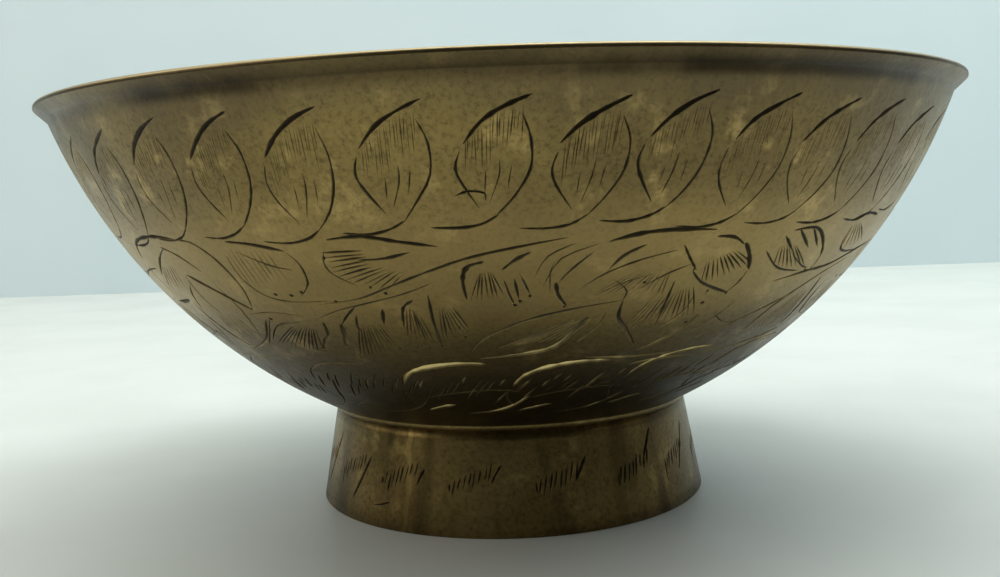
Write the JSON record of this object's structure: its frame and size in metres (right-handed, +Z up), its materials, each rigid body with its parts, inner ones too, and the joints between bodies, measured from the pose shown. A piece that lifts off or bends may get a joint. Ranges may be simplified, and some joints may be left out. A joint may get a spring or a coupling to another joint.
{
  "type": "footed bowl",
  "caption": "Round brass bowl with a turned-out lip, standing on a tapered foot ring that is soldered on.",
  "frame": {"origin": "centre of the circle that the foot ring stands on, at table height", "axes": "+Z up along the bowl's axis of revolution, from the foot to the rim; X and Y are any two level directions, because the solids are round"},
  "size_m": [0.2, 0.2, 0.089],
  "materials": {
    "bowl_brass": "aged, chased outside, semi-gloss",
    "solder_brass": "brazed bead, satin",
    "foot_brass": "aged, chased outside, semi-gloss"
  },
  "bodies": {
    "root": {"bowl": "bowl_brass", "solder_seam": "solder_brass", "foot_ring": "foot_brass"}
  },
  "joints": []
}
